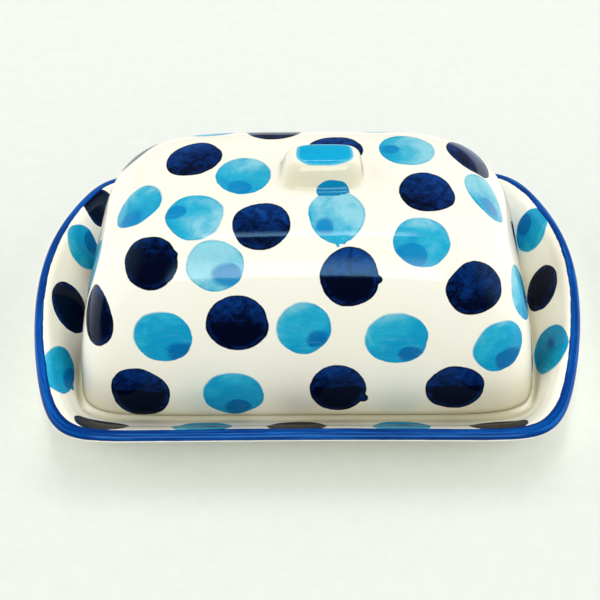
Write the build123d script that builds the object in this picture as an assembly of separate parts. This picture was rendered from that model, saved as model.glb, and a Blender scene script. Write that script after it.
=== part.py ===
from build123d import *
import math
import os

# Covered butter dish in glazed stoneware: a flared tray on a foot ring and a
# hollow cover, with a knob, that stands loose on the tray's flat floor.
# Frame: X along the length, Y across, Z up; origin at the centre of the plane
# the foot ring stands on. Millimetres.
# Sections are superellipses; a higher power gives squarer corners.

# ---- tray ----
tray_half_length = 100.0  # centre to the outermost point of the rim, along X
tray_half_width = 71.0    # centre to the rim at the middle of a long side, along Y
end_bulge = 14.0          # how far the short ends bow out between the corners
floor_bulge_share = 0.12  # part of that bow already present at the floor
side_bulge = -1.7         # the long sides are drawn in slightly at the middle
rim_power = 12.5
floor_power = 9.5         # floor and foot ring
rim_height = 20.0         # outermost line of the lip, middle of a long side
end_rise = 9.0            # how much higher the lip is at the middle of a short end
floor_height = 6.0        # top of the flat floor
foot_recess = 1.8         # depth of the hollow inside the foot ring
foot_width = 4.6          # width of the ring the tray stands on
tray_step = 2.2           # target spacing of tray sections along the profile

# ---- cover ----
cover_half_length = 82.7
cover_half_width = 49.4
cover_rise = 70.4         # floor to crown
wall = 4.8                # side walls
crown_wall = 5.6          # roof
edge_round = 1.1          # rounding of the bare bottom edge
base_power = 8.6
crown_power = 4.1
# Profile exponents: half size = full size * (1 - level ** rise) ** (1 / round)
length_rise_power, length_round_power = 1.6, 5.77
width_rise_power, width_round_power = 1.57, 5.04
level_divisions = 23      # steps from bottom to crown; the sections stop one short

# ---- knob (one piece with the cover) ----
knob_x = 5.8              # the knob sits a little towards +X
knob_lean = 1.3           # how much further towards +X its top is than its foot
knob_height = 10.0        # top of the knob above the crown
knob_half_length = 14.0   # at its foot
knob_half_width = 8.6     # at its foot
knob_power = 3.6
knob_step = 0.8           # target spacing of knob sections along the profile

# ---- sampling of the sections ----
section_points = 96       # points per section
fine_steps = 4000         # steps used to measure the way round a section
corner_weight = 2.2       # extra point density at the corners
corner_spread = 0.35      # how far that density reaches from a corner
radius_passes = 60        # iterations that settle a bowed outline's radius


# ------------------------------------------------------- shared helpers
def spaced_angles(half_length, half_width, power):
    """Angles that space points evenly round a superellipse, closer at its corners."""
    outline = []
    for i in range(fine_steps + 1):
        angle = 2 * math.pi * i / fine_steps
        c, s = math.cos(angle), math.sin(angle)
        radius = (abs(c) ** power + abs(s) ** power) ** (-1 / power)
        outline.append((half_length * radius * c, half_width * radius * s))

    travelled = [0.0]
    for i, (start, end) in enumerate(zip(outline, outline[1:])):
        from_corner = abs((i / fine_steps * 8) % 2 - 1)
        weight = 1 + corner_weight * math.exp(-(from_corner / corner_spread) ** 2)
        travelled.append(travelled[-1] + math.dist(start, end) * weight)

    spaced, j = [], 0
    for k in range(section_points):
        target = travelled[-1] * k / section_points
        while travelled[j + 1] < target:
            j += 1
        part = (target - travelled[j]) / (travelled[j + 1] - travelled[j])
        spaced.append(2 * math.pi * (j + part) / fine_steps)
    return spaced


def section(angles, half_length, half_width, power, height,
            end_bow=0.0, side_bow=0.0, lift=0.0, centre_x=0.0):
    """Closed smooth curve: a superellipse with bowed sides, lifted at its two ends."""
    points = []
    for angle in angles:
        c, s = math.cos(angle), math.sin(angle)
        radius = 0.9
        for _ in range(radius_passes):
            x, y = radius * c, radius * s
            reach_x = 1 - end_bow / half_length * y * y
            reach_y = 1 - side_bow / half_width * x * x
            excess = abs(x / reach_x) ** power + abs(y / reach_y) ** power
            radius *= excess ** (-1 / power)
        x, y = radius * c, radius * s
        z = height + lift * max(0.0, 1 - y * y) * x ** 4
        points.append((centre_x + half_length * x, half_width * y, z))
    return Wire([Edge.make_spline(points, periodic=True)])


def skin(wires):
    """Closed solid through a stack of sections, flat at its first and last."""
    return Solid.make_loft(wires, ruled=True)


def column_slopes(values, gaps):
    """Slope of one table column at each row, flat where the column turns back."""
    rates = [(end - start) / gap for start, end, gap in zip(values, values[1:], gaps)]
    slopes = [rates[0]] + [0.0] * (len(values) - 2) + [rates[-1]]
    for i in range(1, len(values) - 1):
        if rates[i - 1] * rates[i] > 0:
            before = 2 * gaps[i] + gaps[i - 1]
            after = gaps[i] + 2 * gaps[i - 1]
            slopes[i] = (before + after) / (before / rates[i - 1] + after / rates[i])
    return slopes


def fair(rows, step):
    """Fill in a profile table with cubics so that it curves smoothly.

    Distance along the profile is measured in columns 1 and 2: half width and height.
    """
    gaps = [math.dist(row[1:3], following[1:3]) for row, following in zip(rows, rows[1:])]
    slopes = list(zip(*(column_slopes(column, gaps) for column in zip(*rows))))
    filled = [rows[0]]
    for i, gap in enumerate(gaps):
        count = max(1, round(gap / step))
        for j in range(1, count + 1):
            t = j / count
            filled.append(tuple(
                start * (2 * t**3 - 3 * t**2 + 1)
                + start_slope * gap * (t**3 - 2 * t**2 + t)
                + end * (3 * t**2 - 2 * t**3)
                + end_slope * gap * (t**3 - t**2)
                for start, end, start_slope, end_slope
                in zip(rows[i], rows[i + 1], slopes[i], slopes[i + 1])
            ))
    return filled


# ---------------------------------------------------------------- tray
# half length, half width, height, share of the end rise,
# share of the rim's outline (0 at the foot, 1 at the rim)
tray_profile = [
    # foot ring, outside
    (79.0, 45.6, 0.0, 0.0, 0.0),
    (79.8, 46.4, 0.45, 0.0, 0.0),
    (80.3, 47.0, 1.3, 0.0, 0.0),
    (81.6, 48.4, 2.0, 0.0, 0.02),
    # underside turning up into the outside of the wall
    (84.8, 51.6, 2.4, 0.0, 0.1),
    (87.8, 54.8, 3.8, 0.04, 0.22),
    (91.0, 59.2, 7.4, 0.20, 0.42),
    (94.4, 64.2, 12.0, 0.46, 0.68),
    (tray_half_length - 3.0, tray_half_width - 3.5, rim_height - 4.4, 0.72, 0.88),
    (tray_half_length - 1.3, tray_half_width - 1.5, rim_height - 2.5, 0.88, 0.97),
    # rounded lip
    (tray_half_length - 0.3, tray_half_width - 0.35, rim_height - 1.1, 0.97, 1.0),
    (tray_half_length, tray_half_width, rim_height, 1.0, 1.0),
    (tray_half_length - 0.4, tray_half_width - 0.4, rim_height + 1.2, 1.0, 1.0),
    (tray_half_length - 1.5, tray_half_width - 1.6, rim_height + 2.1, 1.0, 1.0),
    (tray_half_length - 2.9, tray_half_width - 3.0, rim_height + 2.0, 1.0, 1.0),
    (tray_half_length - 4.1, tray_half_width - 4.3, rim_height + 1.0, 1.0, 1.0),
    # inside of the wall down to the floor
    (tray_half_length - 6.7, tray_half_width - 8.2, rim_height - 2.7, 0.80, 0.9),
    (90.2, 59.0, 13.2, 0.50, 0.66),
    (87.6, 55.4, 9.9, 0.24, 0.42),
    (86.1, 53.2, 7.9, 0.08, 0.25),
    (85.2, 51.9, 6.85, 0.02, 0.16),
    (84.3, 50.9, 6.2, 0.0, 0.1),
    (83.3, 49.9, floor_height, 0.0, 0.08),
]

# Hollow under the tray: half length and half width before the ring's width
# is taken off, height
hollow_profile = [
    (79.6, 46.2, -0.5),
    (78.8, 45.4, 0.4),
    (78.2, 44.8, 1.2),
    (76.8, 43.4, foot_recess),
]


def make_dish():
    angles = spaced_angles(tray_half_length, tray_half_width, rim_power)

    def tray_section(half_length, half_width, height, rise_share, rim_share):
        return section(
            angles, half_length, half_width,
            power=floor_power + (rim_power - floor_power) * rim_share,
            height=height,
            end_bow=end_bulge * (floor_bulge_share + (1 - floor_bulge_share) * rim_share),
            side_bow=side_bulge * rim_share,
            lift=end_rise * rise_share,
        )

    tray = skin([tray_section(*row) for row in fair(tray_profile, tray_step)])
    hollow = skin([
        tray_section(half_length - foot_width, half_width - foot_width, height, 0.0, 0.0)
        for half_length, half_width, height in hollow_profile
    ])
    return tray - hollow


# --------------------------------------------------------------- cover
# Bottom edges: inset from the surface's half sizes, height above the floor
outer_edge = [(edge_round, 0.0), (0.62, 0.2), (0.22, 0.9)]
inner_edge = [(-edge_round - 0.6, -0.6), (-0.35, 0.6)]  # flares; starts below the floor


def cover_skin(angles, half_length, half_width, rise, edge):
    """Rounded cover shape: its bottom edge, then sections closing in to the crown."""
    wires = [
        section(angles, half_length - inset, half_width - inset, base_power,
                floor_height + height)
        for inset, height in edge
    ]
    for k in range(1, level_divisions):
        level = math.sin(math.pi / 2 * k / level_divisions)
        wires.append(section(
            angles,
            half_length * (1 - level ** length_rise_power) ** (1 / length_round_power),
            half_width * (1 - level ** width_rise_power) ** (1 / width_round_power),
            base_power + (crown_power - base_power) * level,
            floor_height + rise * level,
        ))
    return skin(wires)


# ---------------------------------------------------------------- knob
# added to half length, added to half width, height above the crown
knob_profile = [
    # rooted in the roof, with a small fillet round the foot
    (4.6, 5.0, -2.4), (3.6, 4.0, -0.4), (2.0, 2.1, 0.2),
    (1.2, 1.25, 0.52), (0.6, 0.6, 1.05), (0.2, 0.15, 1.9),
    # sides leaning in
    (-0.1, -0.3, 2.9), (-0.4, -0.85, 4.2), (-0.8, -1.45, 5.7), (-1.35, -2.1, 7.1),
    # rounded over to the top
    (-2.1, -2.8, 8.25), (-3.1, -3.6, 9.1), (-4.3, -4.6, 9.65),
    (-5.7, -5.75, 9.93), (-7.0, -6.7, knob_height),
]


def make_knob():
    angles = spaced_angles(knob_half_length, knob_half_width, knob_power)
    return skin([
        section(
            angles, knob_half_length + extra_length, knob_half_width + extra_width,
            knob_power, floor_height + cover_rise + height,
            centre_x=knob_x + knob_lean * max(0.0, height) / knob_height,
        )
        for extra_length, extra_width, height in fair(knob_profile, knob_step)
    ])


def make_lid():
    angles = spaced_angles(cover_half_length, cover_half_width, base_power)
    outside = cover_skin(angles, cover_half_length, cover_half_width, cover_rise, outer_edge)
    inside = cover_skin(angles, cover_half_length - wall, cover_half_width - wall,
                        cover_rise - crown_wall, inner_edge)
    return (outside - inside) + make_knob()


# -------------------------------------------------------------- export
os.makedirs("parts", exist_ok=True)
for name, piece in (("dish", make_dish()), ("lid", make_lid())):
    solids = piece.solids()
    shape = solids[0] if len(solids) == 1 else Compound(children=list(solids))
    shape.label = name
    export_step(shape, os.path.join("parts", name + ".step"))
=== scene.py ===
"""A glazed oblong dish with a domed cover and a knob, painted with turquoise and navy dots.

The origin is under the middle of the dish, on the floor. X runs along the dish, Y across it
(the camera stands on the -Y side, the front) and Z is up. Sizes are in mm; make_piece turns
meshes into metres. Floor, lights and camera are in metres.
"""
import bpy
import math
import numpy as np
from mathutils import Matrix


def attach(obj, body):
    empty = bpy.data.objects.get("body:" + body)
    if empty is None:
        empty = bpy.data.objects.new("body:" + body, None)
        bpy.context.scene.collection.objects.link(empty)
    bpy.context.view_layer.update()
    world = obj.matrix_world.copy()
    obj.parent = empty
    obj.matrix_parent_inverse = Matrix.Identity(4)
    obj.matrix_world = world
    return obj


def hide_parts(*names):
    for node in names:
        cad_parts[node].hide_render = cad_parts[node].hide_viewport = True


MM = 0.001

# ---------------------------------------------------------------- dish sizes (mm)
HALF_L, HALF_W = 100.0, 71.0               # rim, centre to outermost line, before its bow
END_BULGE, SIDE_BULGE = 14.0, -1.7         # bow of the rim's ends and long sides
CORNER_POWER, FLOOR_POWER = 12.5, 9.5      # superellipse powers of rim and floor
RIM_Z, END_RISE, FLOOR_Z = 20.0, 9.0, 6.0
FLOOR_HALF_L, FLOOR_HALF_W = 83.3, 49.9
FLOOR_SHARE = 0.08                         # share of the rim's outline at the floor's edge
FOOT_RECESS, FOOT_W = 1.8, 4.6
DISH_COUNT = 340                           # points in a ring

# Inner side of the foot: half length, half width (before FOOT_W comes off), height
FOOT_PROFILE = [
    (76.8, 43.4, FOOT_RECESS), (78.2, 44.8, 1.35), (78.9, 45.5, 0.6),
    (79.25, 45.85, 0.22), (79.8, 46.4, 0.0)]
# From the foot up the outside, over the lip and down the inside to the floor:
# half length, half width, height, share of END_RISE, share of the rim's outline
DISH_PROFILE = [
    (78.55, 45.15, 0.0, 0.0, 0.0), (79.2, 45.8, 0.1, 0.0, 0.0), (79.75, 46.35, 0.5, 0.0, 0.0),
    (80.3, 47.0, 1.3, 0.0, 0.0), (81.6, 48.4, 2.0, 0.0, 0.02), (84.8, 51.6, 2.4, 0.0, 0.1),
    (87.8, 54.8, 3.8, 0.04, 0.22), (91.0, 59.2, 7.4, 0.20, 0.42), (94.4, 64.2, 12.0, 0.46, 0.68),
    (HALF_L - 3.0, HALF_W - 3.5, RIM_Z - 4.4, 0.72, 0.88),
    (HALF_L - 1.3, HALF_W - 1.5, RIM_Z - 2.5, 0.88, 0.97),
    (HALF_L - 0.3, HALF_W - 0.35, RIM_Z - 1.1, 0.97, 1.0),
    (HALF_L, HALF_W, RIM_Z, 1.0, 1.0),
    (HALF_L - 0.4, HALF_W - 0.4, RIM_Z + 1.2, 1.0, 1.0),
    (HALF_L - 1.5, HALF_W - 1.6, RIM_Z + 2.1, 1.0, 1.0),
    (HALF_L - 2.9, HALF_W - 3.0, RIM_Z + 2.0, 1.0, 1.0),
    (HALF_L - 4.1, HALF_W - 4.3, RIM_Z + 1.0, 1.0, 1.0),
    (HALF_L - 6.7, HALF_W - 8.2, RIM_Z - 2.7, 0.80, 0.9),
    (90.2, 59.0, 13.2, 0.50, 0.66), (87.6, 55.4, 9.9, 0.24, 0.42), (86.1, 53.2, 7.9, 0.08, 0.25),
    (85.2, 51.9, 6.85, 0.02, 0.16), (84.3, 50.9, 6.2, 0.0, 0.1),
    (FLOOR_HALF_L, FLOOR_HALF_W, FLOOR_Z, 0.0, FLOOR_SHARE)]

# ---------------------------------------------------------------- cover sizes (mm)
LID_L, LID_W, LID_RISE = 82.7, 49.4, 70.4  # half length, half width, height without the knob
WALL, CROWN_WALL = 4.8, 5.6
BASE_POWER, TOP_POWER = 8.6, 4.1           # superellipse powers of the outline, low and high
LENGTH_P, LENGTH_Q = 1.6, 5.77             # curve of the end walls
WIDTH_P, WIDTH_Q = 1.57, 5.04              # curve of the long walls
CROWN_Z = FLOOR_Z + LID_RISE
ROOF_RISE = LID_RISE - CROWN_WALL          # rise of the hollow inside
WALL_END = 0.932                           # share of the rise where walls give way to crown
LID_COUNT = 300                            # points in a ring

KNOB_X, KNOB_LEAN, KNOB_RISE = 5.8, 1.3, 10.0
KNOB_L, KNOB_D, KNOB_POWER = 14.0, 8.6, 3.6
KNOB_TOP_X, KNOB_TOP_Z = KNOB_X + KNOB_LEAN, CROWN_Z + KNOB_RISE

# Bottom edge of the cover: offset from its outline, height above the floor, bare of glaze
LID_EDGE = [
    (-WALL, 1.05, 0), (-WALL + 0.12, 0.55, 0), (-WALL + 0.42, 0.2, 1), (-WALL + 0.85, 0.03, 1),
    (-WALL + 1.3, 0.0, 1), (-3.0, 0.0, 1), (-2.3, 0.0, 1), (-1.6, 0.0, 1), (-1.1, 0.03, 1),
    (-0.66, 0.2, 1), (-0.34, 0.55, 2), (-0.14, 1.05, 2)]
# Knob from its spreading root to its flat top: added to KNOB_L, to KNOB_D, height over the crown
KNOB_PROFILE = [
    (3.6, 4.0, 0.0), (2.8, 3.0, 0.05), (2.0, 2.1, 0.2), (1.2, 1.25, 0.52), (0.6, 0.6, 1.05),
    (0.2, 0.15, 1.9), (-0.1, -0.3, 2.9), (-0.4, -0.85, 4.2), (-0.8, -1.45, 5.7),
    (-1.35, -2.1, 7.1), (-2.1, -2.8, 8.25), (-3.1, -3.6, 9.1), (-4.3, -4.6, 9.65),
    (-5.7, -5.75, 9.93), (-7.0, -6.7, KNOB_RISE)]

# Zones of a surface. The last of LID_EDGE's columns holds them too.
UNDER, BARE, OUTER, INNER = 0, 1, 2, 3     # cover's inside or dish's recess; unglazed; outside;
                                           # inside of the dish

# ---------------------------------------------------------------- painted dots
# Columns: centre x, y, z; outward normal x, y, z; half width, half height; tilt in degrees;
# kind (0.6 to 1.4 turquoise, thin to strong, 2 navy, 3 knob top, 4 lobe at the knob's root,
# painted darker as shade on the knob's front); patch across, up, radius; nib across, up, radius
# (all in shares of the dot's half sizes).
# Patch: darker pooled wash. On a navy dot its first value is how far cobalt shows through,
# its second adds lighter cobalt in the upper half as a painted reflection.
# Values left off the end of a row are 0.
DOT_COLUMNS = 16
LID_DOTS = [
    (-58.29, -48.33, 17.9, -0.069, -0.992, 0.102, 10.65, 11.4, 0, 2, -0.16, 0.3),
    (-25.48, -48.8, 17.7, 0, -0.997, 0.081, 10.89, 10.04, 0, 1.18, 0.12, -0.66, 0.42),
    (11.38, -48.58, 20.14, 0, -0.996, 0.093, 10.12, 11.02, 0, 2, -0.16, 0.3, 0, 0.88, -0.42, 0.17),
    (52.16, -48.4, 19.93, 0.034, -0.994, 0.103, 10.45, 10.07, 0, 2, -0.16, 0.3),
    (-47.98, -44.88, 42.46, -0.055, -0.97, 0.235, 10.26, 10.07, 0, 1.22, 0.62, -0.62, 0.55),
    (-22.39, -43.98, 47.89, -0.002, -0.967, 0.255, 10.76, 10.57, 0, 2, -0.04, 0.12),
    (-0.24, -44.5, 45.84, 0, -0.972, 0.236, 9.59, 10.33, 0, 0.92, 0.5, -0.4, 0.42),
    (31.3, -45.41, 41.68, 0.006, -0.978, 0.208, 10.79, 10.43, 0, 1.08, 0.45, -0.62, 0.36),
    (66.72, -43.81, 35.78, 0.325, -0.906, 0.27, 9.6, 9.9, 0, 1, 0.42, -0.55, 0.55),
    (-51.15, -33.32, 66.19, -0.25, -0.674, 0.695, 9.68, 9.31, -20, 2, -0.05, 0, 0, 0.76, 0.6, 0.1),
    (-29.13, -35.8, 66.92, -0.029, -0.79, 0.612, 9.95, 8.8, 0, 0.7, 0.4, -0.35, 0.55),
    (15.35, -38.22, 63.37, 0.002, -0.87, 0.492, 9.88, 10.52, 0, 2, -0.12, 0.42, 0,
     0.97, -0.06, 0.12),
    (57.1, -37.87, 57.65, 0.287, -0.813, 0.507, 10.42, 9.32, 0, 2, 0.12),
    (-14, -24.3, 75.12, -0.004, -0.275, 0.961, 9.96, 9.7, 0, 2, 0.24),
    (39.13, -29.64, 71.82, 0.109, -0.522, 0.846, 9.83, 8.8, 0, 1.08, -0.38, -0.55, 0.55),
    (11.23, -20.37, 75.88, 0.002, -0.151, 0.989, 9.66, 11.46, 0, 0.72, -0.42, -0.42, 0.32,
     0.12, -0.98, 0.16),
    (-36.44, -19.73, 75.37, -0.079, -0.154, 0.985, 10.15, 10.12, 10, 1, -0.62, 0.28, 0.34),
    (41.94, -8.47, 75.5, 0.129, -0.016, 0.992, 9.8, 10.43, -22, 2, 0.24),
    (-21.06, -0.02, 76.38, -0.007, 0, 1, 9.86, 9.98, 0, 1.1, -0.15, -0.62, 0.42),
    (-39.1, 10.64, 75.76, -0.094, 0.027, 0.995, 10.4, 9.6, 18, 2, 0.24),
    (36.37, 14.96, 75.82, 0.072, 0.066, 0.995, 10.2, 9.6, -8, 1, -0.6, -0.1, 0.34),
    (-57.46, -9.36, 70.85, -0.494, -0.019, 0.869, 9.71, 10.03, 0, 1.1, -0.25, -0.62, 0.5),
    (64, 0.02, 65.88, 0.702, 0, 0.712, 10.2, 10.6, 0, 0.88, 0.1, -0.45, 0.45),
    (59.54, 18.97, 68.95, 0.549, 0.136, 0.824, 10, 9.6, 0, 2, 0.23),
    (-72, -36.53, 44.6, -0.715, -0.569, 0.407, 8.2, 10.8, 0, 2, -0.05),
    (-11.5, 30.5, 72.38, -0.002, 0.569, 0.822, 10.4, 9.8, 0, 2, 0.24),
    (10.8, 14.5, 76.3, 0.001, 0.033, 0.999, 10.2, 8.9, 5, 2, 0.24),
    (26, 35.5, 67.43, 0.018, 0.786, 0.619, 10.4, 9.8, 0, 1, 0.3, -0.5, 0.4),
    (-61, 30.5, 63.49, -0.505, 0.518, 0.691, 10.4, 9.8, 0, 2, 0.17),
    (-75.33, -14.93, 46.62, -0.939, -0.008, 0.344, 10.6, 10.8, 0, 1, 0.2, -0.5, 0.4),
    (75.1, -27.01, 45.6, 0.922, -0.131, 0.365, 9.2, 10.3, 0, 1, 0.2, -0.5, 0.4),
    (78.45, 6.32, 36.48, 0.969, 0, 0.246, 10.3, 10.3, 0, 2, -0.1),
    (81.65, -27.07, 18.57, 0.991, -0.032, 0.128, 10, 9.8, 0, 2, -0.1),
    (7.2, -0.35, 86.4, 0, 0, 1, 9.9, 5.6, 0, 3, -0.5, 0.1, 0.4),
    (9.98, -9.81, 76.92, 0.011, -0.559, 0.829, 5.7, 4, 0, 4),
    (47.09, 38.52, 60.38, 0.122, 0.867, 0.483, 9.7, 10.22, -11.7, 2, 0.13),
    (62.77, 42.28, 44.34, 0.265, 0.908, 0.324, 10.64, 9.68, 8, 1, 0.49, -0.53, 0.51),
    (14, 43.33, 50.3, 0, 0.961, 0.276, 9.8, 9.66, 6.2, 2, 0.02),
    (44.61, 47.07, 31.72, 0.019, 0.988, 0.153, 10.78, 9.32, 5.7, 1, 0.31, -0.51, 0.46),
    (59.28, 48.55, 14.93, 0.063, 0.994, 0.085, 10.86, 9.87, 10.8, 2, -0.1),
    (-7.2, 44.95, 43.9, 0, 0.975, 0.221, 9.91, 9.78, -13.1, 1, -0.32, -0.34, 0.49,
     -0.91, 0.1, 0.12),
    (79.43, 40.63, 15.97, 0.862, 0.479, 0.168, 10.63, 10.41, -7.3, 1, 0.21, -0.34, 0.4),
    (-25.74, 47.19, 31.72, -0.001, 0.989, 0.146, 10.44, 10.44, 12.3, 2, -0.1),
    (-49.51, 42.83, 49.48, -0.088, 0.948, 0.305, 10.27, 10.35, -0.9, 1, 0.4, -0.44, 0.39),
    (-33.44, 33.85, 68.96, -0.051, 0.718, 0.695, 10.32, 9.79, 7.7, 1, 0.24, -0.44, 0.45),
    (-46.59, 48.23, 22.69, -0.017, 0.994, 0.109, 9.78, 9.39, -0.3, 1, 0.33, -0.42, 0.41),
    (16.12, 47.61, 28.75, 0, 0.991, 0.131, 9.79, 9.6, 12.7, 2, -0.1),
    (-68.55, 42.57, 37.49, -0.398, 0.868, 0.298, 10.31, 10.46, 6.5, 2, -0.1),
    (-77.01, 43.44, 16.49, -0.658, 0.733, 0.172, 9.79, 9.44, -3.1, 1, -0.3, -0.4, 0.41),
    (-82.14, 23.03, 14.93, -0.995, 0.008, 0.097, 10.12, 9.57, 11.2, 2, -0.1),
    (-0.94, 49.01, 14.93, 0, 0.998, 0.068, 9.77, 10.32, -9.7, 1, 0.21, -0.44, 0.52),
    (-82.16, -0.97, 14.93, -0.995, 0, 0.095, 9.88, 10.11, -8.6, 1, -0.57, -0.52, 0.53),
    (-82.12, -24.35, 14.93, -0.995, -0.014, 0.097, 10.89, 9.83, 13.4, 2, -0.1),
]
DISH_DOTS = [
    (-85.77, 50.65, 21.1, 0.775, -0.222, 0.592, 8.56, 8.83, -22.5, 2, -0.12),
    (-89.17, 27.79, 18.99, 0.906, -0.107, 0.41, 9.4, 10.65, 34.4, 1.15, 0.3, -0.6, 0.5),
    (-90.06, -4.93, 17.5, 0.91, 0.018, 0.415, 10.58, 12.65, 42.1, 2, -0.12),
    (-87.76, -38.73, 19.55, 0.888, 0.16, 0.431, 14, 8.2, -23.9, 1.15, 0.2, -0.62, 0.5,
     0.1, -1, 0.12),
    (89.03, 34.21, 20.63, -0.891, -0.132, 0.435, 9.18, 10.59, -33, 1.15, -0.35, -0.5, 0.5),
    (89.75, 4.56, 16.83, -0.909, -0.016, 0.416, 9.4, 10.81, -42.4, 2, -0.12),
    (88.41, -27.41, 17.15, -0.909, 0.106, 0.403, 14, 9.43, 36, 1.15, -0.1, 0.2, 0.3),
    (-70.27, -61.62, 16.37, 0.149, 0.677, 0.721, 9.66, 9.2, 0, 2, -0.12),
    (-35.33, -62.92, 17.18, -0.008, 0.704, 0.71, 10.4, 12, 0, 1, 0.3, 0.1, 0.3),
    (-2.81, -62.97, 17.45, -0.001, 0.704, 0.71, 10.34, 13.2, 0, 2, -0.12),
    (33.03, -63.08, 17.37, 0.008, 0.703, 0.711, 10.26, 13.2, 0, 1, 0.1, 0.3, 0.3),
    (66.21, -63.05, 17.29, -0.064, 0.686, 0.725, 10.15, 9.53, 0, 2, -0.12),
    (-55.64, 59.46, 13.33, 0.003, -0.691, 0.722, 10.5, 10.4, 0, 1, 0.4, -0.4, 0.45),
    (-23.4, 60.15, 14.35, -0.005, -0.71, 0.704, 10.5, 10.4, 0, 2, -0.12),
    (7.89, 60.1, 14.37, 0.002, -0.712, 0.702, 10.5, 10.4, 0, 1, -0.4, -0.5, 0.4),
    (38.8, 59.76, 13.78, 0.007, -0.703, 0.711, 10.5, 10.4, 0, 2, -0.12),
    (65.08, 59.53, 13.63, -0.059, -0.685, 0.726, 10.5, 10.4, 0, 1, 0.5, -0.3, 0.5),
]
DOT_REACH = 4.5         # a dot's marks run this far past its outline, mm
DOT_STRETCH = 1.8       # most that a curved surface may stretch distances from a dot's centre

# ---------------------------------------------------------------- colours (linear RGB)
LID_COOL, LID_WARM = (0.872, 0.856, 0.762), (0.856, 0.832, 0.712)
DISH_COOL, DISH_WARM = (0.908, 0.890, 0.795), (0.895, 0.872, 0.750)
# the second colour on the next line is that of painted shade and gathered glaze
GLAZE_SPECK, GLAZE_SHADE_AND_POOL = (0.45, 0.36, 0.24), (0.60, 0.565, 0.37)
CLAY_DARK, CLAY_PALE, CLAY_SPECK = (0.50, 0.42, 0.31), (0.70, 0.62, 0.50), (0.25, 0.18, 0.12)
WASH_PALE, WASH_MID, WASH_FULL = (0.25, 0.59, 0.69), (0.018, 0.385, 0.58), (0.003, 0.28, 0.51)
WASH_POOL, WASH_POOL_HIGH = (0.001, 0.105, 0.33), (0.001, 0.20, 0.47)
# the second colour on the next line is the lobe's blue with painted shade on the knob's front
WASH_LINE, LOBE_BLUE_SHADED = (0.008, 0.27, 0.46), (0.002, 0.215, 0.42)
KNOB_BLUE, KNOB_BORDER = (0.004, 0.37, 0.63), (0.16, 0.56, 0.72)
GRAIN_COOL, GRAIN_BRIGHT = (0.86, 0.91, 0.94), (1.10, 1.06, 1.04)
NAVY_DARK, NAVY_COBALT = (0.0010, 0.0020, 0.013), (0.002, 0.026, 0.15)
NAVY_LIGHT = (0.007, 0.080, 0.34)
BAND_DARK, BAND_MID = (0.002, 0.028, 0.17), (0.002, 0.064, 0.31)
BAND_LIGHT, BAND_EDGE = (0.007, 0.140, 0.49), (0.002, 0.018, 0.11)
BLACK, WHITE, BLUE_SHINE = (0.0, 0.0, 0.0), (1.0, 1.0, 1.0), (0.30, 0.68, 1.0)
BAND_IN, BAND_OUT = 2.1, -3.05  # painted band, from the top of the lip inward and outward, mm


# ---------------------------------------------------------------- shapes
def loop_angles(half_x, half_y, power, count):
    """Angles of points spaced evenly round a superellipse, but closer every quarter turn
    and half way between."""
    samples = 8000
    fine = np.linspace(0, 2 * math.pi, samples + 1)
    cos, sin = np.cos(fine), np.sin(fine)
    radius = (np.abs(cos) ** power + np.abs(sin) ** power) ** (-1 / power)
    x, y = half_x * radius * cos, half_y * radius * sin
    turn = np.arange(samples) / samples
    weight = 1 + 2.2 * np.exp(-((np.abs((turn * 8) % 2 - 1)) / 0.35) ** 2)
    steps = np.hypot(np.diff(x), np.diff(y)) * weight
    length = np.concatenate([[0], np.cumsum(steps)])
    return np.interp(np.arange(count) / count * length[-1], length, fine)


def unit_loop(angles, half_x, half_y, power, bow_x=0.0, bow_y=0.0):
    """Points of a superellipse with bowed sides, as shares of its half axes."""
    cos, sin = np.cos(angles), np.sin(angles)
    radius = np.full(len(angles), 0.9)
    for _ in range(60):
        x, y = radius * cos, radius * sin
        size = (np.abs(x / (1 - bow_x / half_x * y * y)) ** power
                + np.abs(y / (1 - bow_y / half_y * x * x)) ** power)
        radius = radius * size ** (-1 / power)
    return radius * cos, radius * sin


def fair(rows, step):
    """Fills in a profile table with a monotone cubic; lengths go by columns 1 and 2."""
    rows = np.array(rows, float)
    gap = np.hypot(np.diff(rows[:, 1]), np.diff(rows[:, 2]))
    slope = np.diff(rows, axis=0) / gap[:, None]
    before, after = slope[:-1], slope[1:]
    weight_before = (2 * gap[1:] + gap[:-1])[:, None]
    weight_after = (gap[1:] + 2 * gap[:-1])[:, None]

    def nonzero(value):
        return np.where(np.abs(value) < 1e-12, 1.0, value)

    mean = (weight_before + weight_after) / (
        weight_before / nonzero(before) + weight_after / nonzero(after))
    tangent = np.zeros_like(rows)
    tangent[0], tangent[-1] = slope[0], slope[-1]
    tangent[1:-1] = np.where(before * after > 0, mean, 0.0)
    filled = [rows[0]]
    for i, length in enumerate(gap):
        pieces = max(1, int(round(length / step)))
        for j in range(1, pieces + 1):
            t = j / pieces
            filled.append(rows[i] * (2 * t**3 - 3 * t**2 + 1)
                          + tangent[i] * length * (t**3 - 2 * t**2 + t)
                          + rows[i + 1] * (3 * t**2 - 2 * t**3)
                          + tangent[i + 1] * length * (t**3 - t**2))
    return np.array(filled)


def ease(value, start, end):
    """Smooth step from 0 at start to 1 at end."""
    t = np.clip((value - start) / (end - start), 0, 1)
    return t * t * (3 - 2 * t)


def between(start, end, share):
    start, end = np.array(start, float), np.array(end, float)
    return start + (end - start) * share


def lid_outline(share, inset=0.0):
    """Half length, half width and power of the cover's outline at a share of its rise."""
    half_x = (LID_L - inset) * (1 - share ** LENGTH_P) ** (1 / LENGTH_Q)
    half_y = (LID_W - inset) * (1 - share ** WIDTH_P) ** (1 / WIDTH_Q)
    return half_x, half_y, BASE_POWER + (TOP_POWER - BASE_POWER) * share


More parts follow.
